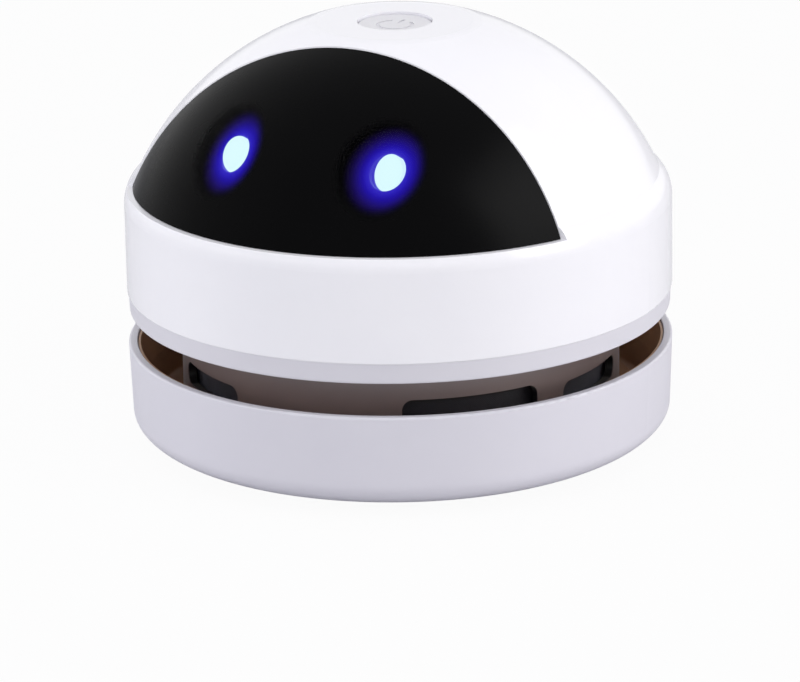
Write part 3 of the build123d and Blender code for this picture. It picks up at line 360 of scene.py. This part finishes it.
def eye_glow(finish, x_of_eye):
    """How far a point is from the middle of one light, with 1 at the edge of its oval."""
    x, y, z = finish.axes()
    sideways = (x - x_of_eye) / EYE_HALF_W
    upwards = ((y - EYE_Y) * math.sin(EYE_TILT) + (z - EYE_Z) * math.cos(EYE_TILT)) / EYE_HALF_H
    return (sideways * sideways + upwards * upwards) ** 0.5


def nearest_eye(finish):
    """The same, from the nearer of the two lights."""
    return finish.node("ShaderNodeMath", {"operation": "MINIMUM"},
                       {0: eye_glow(finish, EYE_X), 1: eye_glow(finish, -EYE_X)})


visor_black = Finish("visor_black", {"IOR": 1.49, "Specular IOR Level": 0.033})
visor_black.tones(12 * MM, 2, (4, 4, 5), (6, 6, 7))
visor_black.worn(0.24, 0.06, 5 * MM, 4)
printed = visor_black.node("ShaderNodeMapRange", {"interpolation_type": "SMOOTHSTEP"},
                           {"Value": nearest_eye(visor_black), "From Min": WINDOW_CLEAR,
                            "From Max": WINDOW_EDGE, "To Min": VISOR_DEPTH, "To Max": 1.0})
visor_black.feed("Alpha", printed)
visor_black.dress("visor")

# ---------------------------------------------------------------- eye lights
# Behind the visor two oval light pipes stand in a black baffle. Each is lit by one diode from
# behind, and its blue glow is painted on the baffle round it as light, fading out.
GLOW_REACH = 2.80
# How far out, and the colour there in screen values: first on a light pipe, then the painted glow on the
# baffle.
LENS_STOPS = [
    (0.00, (219, 251, 254)),
    (0.92, (218, 250, 254)),
    (1.00, (210, 240, 254)),
    (1.10, (200, 226, 253)),
]
PAINTED_GLOW_STOPS = [
    (1.00, (66, 60, 200)),
    (1.08, (55, 45, 193)),
    (1.15, (47, 36, 187)),
    (1.26, (42, 30, 182)),
    (1.42, (32, 17, 164)),
    (1.58, (29, 13, 146)),
    (1.76, (27, 13, 122)),
    (1.94, (24, 11, 96)),
    (2.12, (18, 7, 72)),
    (2.33, (11, 4, 46)),
    (2.58, (3, 1, 16)),
    (2.78, (0, 0, 0)),
]


def lit(finish, distance, colours):
    """The light's colours from its middle out, brighter by what the visor's two faces keep back."""
    stops = [(far / GLOW_REACH, tone(*colour)) for far, colour in colours]
    ramp = finish.node("ShaderNodeValToRGB", {"stops": stops}, {0: distance / GLOW_REACH})
    finish.feed("Emission Color", ramp)
    finish.feed("Emission Strength", 1 / (1 - VISOR_DEPTH) ** 2)


baffle = Finish("baffle_black", {"Roughness": 0.27, "IOR": 1.49, "Specular IOR Level": 0.033,
                                 "Base Color": tone(5, 5, 6)})
# The baffle's blue halo is painted light: emission on a part that is no lamp.
lit(baffle, nearest_eye(baffle), PAINTED_GLOW_STOPS)
baffle.dress("visor_mask")
for side, x_of_eye in (("left", EYE_X), ("right", -EYE_X)):
    lens = Finish("lens_" + side, {"Roughness": 0.3, "Base Color": (0.02, 0.02, 0.02)})
    lit(lens, eye_glow(lens, x_of_eye), LENS_STOPS)
    lens.dress("eye_lens_" + side)

# ---------------------------------------------------------------- boards
# Three small circuit boards of glass fibre with green lacquer. Screws hold the one behind the lights
# and the one under the button, and the one at the charging socket stands on two posts.
board = Finish("board_green", {"IOR": 1.5, "Coat Weight": 0.5, "Coat Roughness": 0.15})
fibre = board.noise(0.5 * MM, 2)
board.feed("Base Color", board.mix(fibre, tone(22, 84, 48), tone(34, 104, 60)))
board.worn(0.3, 0.15, 1 * MM, 3)
board.grain(fibre, 0.01 * MM)
board.dress("eye_board", "charge_board", "switch_board")

chip = Finish("chip_black", {"IOR": 1.5})
chip.tones(0.6 * MM, 3, (26, 26, 28), (40, 40, 42))
chip.worn(0.5, 0.2, 0.4 * MM, 3)
chip.grain(chip.noise(0.12 * MM), 0.005 * MM)
chip.dress("charge_chips", "switch_body")

led = Finish("led_white", {"Roughness": 0.3, "Emission Strength": 0.6})
led.tones(0.7 * MM, 2, (236, 232, 190), (250, 248, 225))
led.feed("Emission Color", led.mix(led.noise(0.7 * MM, 2), tone(150, 190, 255), tone(190, 220, 255)))
led.dress("eye_leds")

# ---------------------------------------------------------------- motor
# A small fan motor in a steel can, with bronze bushes, ferrite magnets and a black end cap. Two
# screws and a rubber disc hold it on the deck.
bronze = Finish("bush_bronze", {"Metallic": 1.0})
bronze.tones(0.8 * MM, 4, (176, 128, 74), (206, 158, 98))
bronze.worn(0.3, 0.15, 0.5 * MM, 4)
bronze.dress("front_bush", "rear_bush", "motor_terminals")

ferrite = Finish("magnet_ferrite", {"Metallic": 0.3})
ferrite.tones(0.8 * MM, 5, (62, 62, 66), (88, 88, 92))
ferrite.worn(0.55, 0.2, 0.5 * MM, 4)
ferrite.grain(ferrite.noise(0.3 * MM, 4), 0.02 * MM)
ferrite.dress("motor_magnets")

cap_black = Finish("cap_black", {"IOR": 1.5})
cap_black.tones(2 * MM, 3, (22, 22, 24), (36, 36, 38))
cap_black.worn(0.42, 0.12, 1 * MM, 3)
cap_black.grain(cap_black.noise(0.3 * MM), 0.006 * MM)
cap_black.dress("motor_end_cap")

winding = Finish("winding_copper", {"Metallic": 0.9, "Roughness": 0.35})
COPPER_WIRE = 0.3 * MM
wz = winding.axes()[2]
wave = winding.node("ShaderNodeMath", {"operation": "SINE"}, {0: wz * (math.tau / COPPER_WIRE)})
turns = wave * 0.5 + 0.5
winding.feed("Base Color", winding.mix(turns, tone(130, 62, 30), tone(204, 120, 70)))
winding.grain(turns, 0.05 * MM)
winding.dress("armature")

lead = Finish("lead_red", {"Roughness": 0.4, "IOR": 1.48})
lead.tones(1.2 * MM, 3, (168, 26, 22), (194, 40, 34))
lead.grain(lead.noise(0.3 * MM, 3), 0.01 * MM)
lead.dress("motor_leads")

# ---------------------------------------------------------------- fan
# The fan: a hub, swept blades and a back plate, moulded in one in white nylon and pressed onto the
# motor's shaft.
fan_white = moulded("fan_white", (232, 232, 234), (224, 224, 227), 0.38, 0.3 * MM, 0.004 * MM)
fan_white.dress("impeller")

# ---------------------------------------------------------------- cell
# One standard round lithium cell in a shrunk blue sleeve. It lies behind the motor in its cradle,
# between two nickel strips.
cell = Finish("cell_wrap", {"IOR": 1.5, "Coat Weight": 0.4, "Coat Roughness": 0.15})
crinkle = cell.noise(3 * MM, 4, (0.4, 1, 1))
cell.feed("Base Color", cell.mix(crinkle, tone(34, 96, 168), tone(46, 116, 192)))
cell.worn(0.25, 0.15, 1.5 * MM, 3)
cell.grain(crinkle, 0.05 * MM)
cell.dress("battery_cell")

# ---------------------------------------------------------------- charging socket
# The folded nickel-plated shell of the charging socket, soldered to its board. It stands behind the
# slot in the band.
plated = Finish("socket_steel", {"Metallic": 1.0})
plated.tones(0.8 * MM, 3, (202, 203, 206), (222, 223, 226))
plated.worn(0.16, 0.12, 0.5 * MM, 4)
plated.dress("charge_socket")

# ---------------------------------------------------------------- button
# The satin push button in the crown, with the usual on-off mark sunk into it. A spring under it
# lifts it again, and its stem works the plunger of the small switch.
button_grey = moulded("button_grey", (228, 227, 231), (224, 223, 228), 0.36, 0.3 * MM, 0.003 * MM)
button_grey.dress("power_button", "switch_plunger")

# ---------------------------------------------------------------- return spring
# The coil of steel wire between the switch and the button's flange. Its end turns lie closed. It is
# drawn at rest; the real one is pressed together as the button goes down.
SPRING_FOOT = 60.545 * MM
SPRING_HEAD = 63.80 * MM
WIRE_R = 0.18 * MM
COIL_R = 2.39 * MM
COIL_TURNS = 5
COIL_STEPS = 36
WIRE_SIDES = 8
closed_rise = 2.06 * WIRE_R
open_rise = (SPRING_HEAD - SPRING_FOOT - 2 * WIRE_R - 2 * closed_rise) / (COIL_TURNS - 2)
coil_line = []
for step in range(COIL_TURNS * COIL_STEPS + 1):
    turn = step / COIL_STEPS
    wound = min(turn, 1) + max(turn - COIL_TURNS + 1, 0)
    coil_line.append((COIL_R * math.cos(math.tau * turn), COIL_R * math.sin(math.tau * turn),
                      SPRING_FOOT + WIRE_R + closed_rise * wound + open_rise * (turn - wound)))
coil_points, coil_faces = [], []
tube_rings(coil_line, [WIRE_R] * len(coil_line), WIRE_SIDES, coil_points, coil_faces)
spring = closed_mesh("return_spring", coil_points, coil_faces, sharp=50)
spring.data.materials.append(steel.material)
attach(spring, "head")
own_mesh(spring)
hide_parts("button_spring")

# ---------------------------------------------------------------- desk and light
# A plain white desk and a studio of soft lamps: a large one overhead, a wide one on each side, a low
# one at the right, and one high at the right that shows only in the gloss.
DESK_HALF = 3.0
DESK_TOP = -0.1 * MM
DESK_UNDER = -20 * MM
DESK_SEEN = 0.95
desk_points = [(x * DESK_HALF, y * DESK_HALF, z) for z in (DESK_UNDER, DESK_TOP)
               for x, y in ((-1, -1), (1, -1), (1, 1), (-1, 1))]
desk_faces = [(0, 3, 2, 1), (4, 5, 6, 7), (0, 1, 5, 4), (1, 2, 6, 5), (2, 3, 7, 6), (3, 0, 4, 7)]
floor = closed_mesh("desk", desk_points, desk_faces, smooth=False)
desk = Finish("desk_white", {"Base Color": tone(214, 214, 217), "Roughness": 0.7,
                             "Specular IOR Level": 0.1})
# The camera sees the desk near white, with the cleaner's own soft shadow on it.
path = desk.node("ShaderNodeLightPath").socket.node
glowing = desk.node("ShaderNodeEmission", None, {"Color": (1.0, 1.0, 1.0), "Strength": 1.0})
seen = Wire(desk, path.outputs["Is Camera Ray"]) * DESK_SEEN
plain = Wire(desk, desk.surface.outputs[0])
blend = desk.node("ShaderNodeMixShader", None, {0: seen, 1: plain, 2: glowing})
desk.tree.links.new(blend.socket, desk.tree.nodes["Material Output"].inputs["Surface"])
floor.data.materials.append(desk.material)

# The room is white to the camera, in gloss and through glass, and dimmer as a source of light.
world = bpy.data.worlds.new("studio")
bpy.context.scene.world = world
world.use_nodes = True
sky = world.node_tree.nodes["Background"]
around_it = world.node_tree.nodes.new("ShaderNodeBackground")
sky.inputs["Color"].default_value = (0.95, 0.96, 1.0, 1.0)
sky.inputs["Strength"].default_value = 0.5
around_it.inputs["Color"].default_value = (1.0, 1.0, 1.0, 1.0)
around_it.inputs["Strength"].default_value = 1.0
rays = world.node_tree.nodes.new("ShaderNodeLightPath")
first = world.node_tree.nodes.new("ShaderNodeMath")
second = world.node_tree.nodes.new("ShaderNodeMath")
for joined in (first, second):
    joined.operation = "MAXIMUM"
either = world.node_tree.nodes.new("ShaderNodeMixShader")
wires = world.node_tree.links
wires.new(rays.outputs["Is Camera Ray"], first.inputs[0])
wires.new(rays.outputs["Is Glossy Ray"], first.inputs[1])
wires.new(first.outputs[0], second.inputs[0])
wires.new(rays.outputs["Is Transmission Ray"], second.inputs[1])
wires.new(second.outputs[0], either.inputs[0])
wires.new(sky.outputs[0], either.inputs[1])
wires.new(around_it.outputs[0], either.inputs[2])
wires.new(either.outputs[0], world.node_tree.nodes["World Output"].inputs["Surface"])

LAMPS_AIM = Vector((0, 0, 0.03))
WARM = (1.0, 0.985, 0.955)


def lamp(name, power, width, height, spot, colour=(1.0, 1.0, 1.0), mirrored=True, lighting=True):
    """A soft box turned to the head. One that isn't mirrored doesn't show in the gloss, and one that
    isn't lighting shows only there."""
    data = bpy.data.lights.new(name, "AREA")
    data.shape = "RECTANGLE"
    data.energy = power
    data.color = colour
    data.size = width
    data.size_y = height
    made = bpy.data.objects.new(name, data)
    made.location = spot
    made.rotation_euler = (LAMPS_AIM - Vector(spot)).to_track_quat("-Z", "Y").to_euler()
    made.visible_glossy = mirrored
    made.visible_diffuse = lighting
    bpy.context.scene.collection.objects.link(made)


lamp("lamp_top", 3.3, 0.9, 0.9, (-0.05, -0.1, 1.1), mirrored=False)
lamp("lamp_right", 3.85, 0.6, 0.9, (0.96, 0.02, 0.46), WARM)
lamp("lamp_low", 1.5, 0.4, 0.25, (0.92, -0.10, 0.12), WARM, mirrored=False)
lamp("lamp_sheen", 3.8, 0.7, 0.6, (0.76, 0.07, 0.64), lighting=False)
lamp("lamp_left", 4.7, 0.4, 0.7, (-0.80, -0.70, 0.30), mirrored=False)

# ---------------------------------------------------------------- camera
# A long lens, a little above the shoulder and to the right of the face, level but for a slight tilt.
CAMERA_SPOT = Vector((346.463, -679.972, 261.419)) * MM
CAMERA_AIM = Vector((-0.112, -0.057, 14.724)) * MM
CAMERA_ROLL = math.radians(-1.0597)
camera_data = bpy.data.cameras.new("camera")
camera_data.lens = 227.66
camera_data.sensor_width = 36.0
camera = bpy.data.objects.new("camera", camera_data)
bpy.context.scene.collection.objects.link(camera)
turned = (CAMERA_AIM - CAMERA_SPOT).to_track_quat("-Z", "Y").to_matrix().to_4x4()
camera.matrix_world = Matrix.Translation(CAMERA_SPOT) @ turned @ Matrix.Rotation(CAMERA_ROLL, 4, "Z")
bpy.context.scene.camera = camera
bpy.context.scene.view_settings.view_transform = "Standard"
